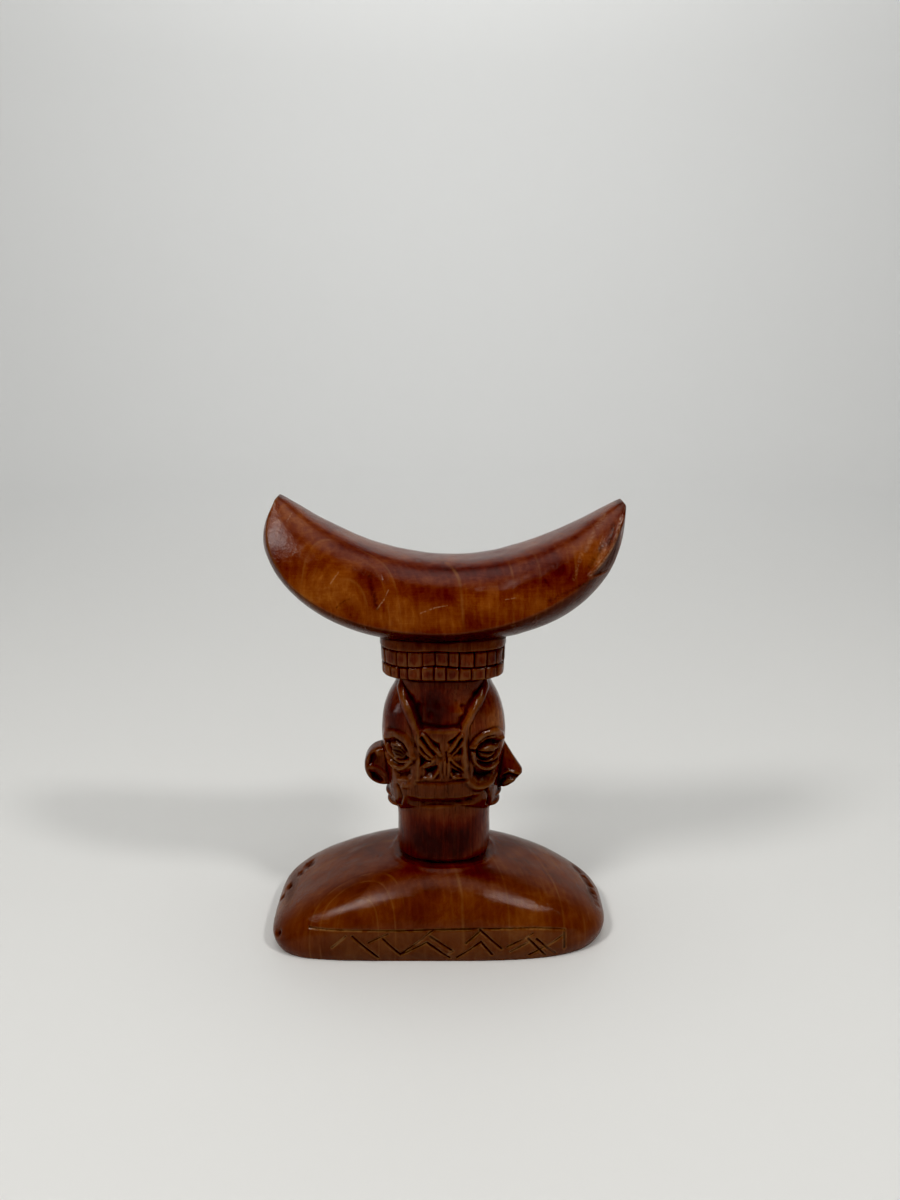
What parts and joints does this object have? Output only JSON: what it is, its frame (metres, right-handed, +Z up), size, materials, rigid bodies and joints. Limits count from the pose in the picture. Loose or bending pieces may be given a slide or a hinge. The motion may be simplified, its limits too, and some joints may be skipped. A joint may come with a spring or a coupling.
{
  "type": "headrest",
  "caption": "Carved wooden headrest: a crescent pillow on a notched collar, a double-faced head, a short neck and a domed base with an incised zigzag band.",
  "frame": {"origin": "centre of the bounding box, on the underside of the base", "axes": "+Z up, along the object's height. +X and -X are the way the two faces look and the way the crescent's horns point. The front with the fuller carving is -Y."},
  "size_m": [0.1284, 0.0612, 0.1679],
  "materials": {
    "varnished_wood": "glossy aged varnish over red-brown wood, darker in the carving and tan on worn edges"
  },
  "bodies": {
    "root": {"headrest": "varnished_wood"}
  },
  "joints": []
}
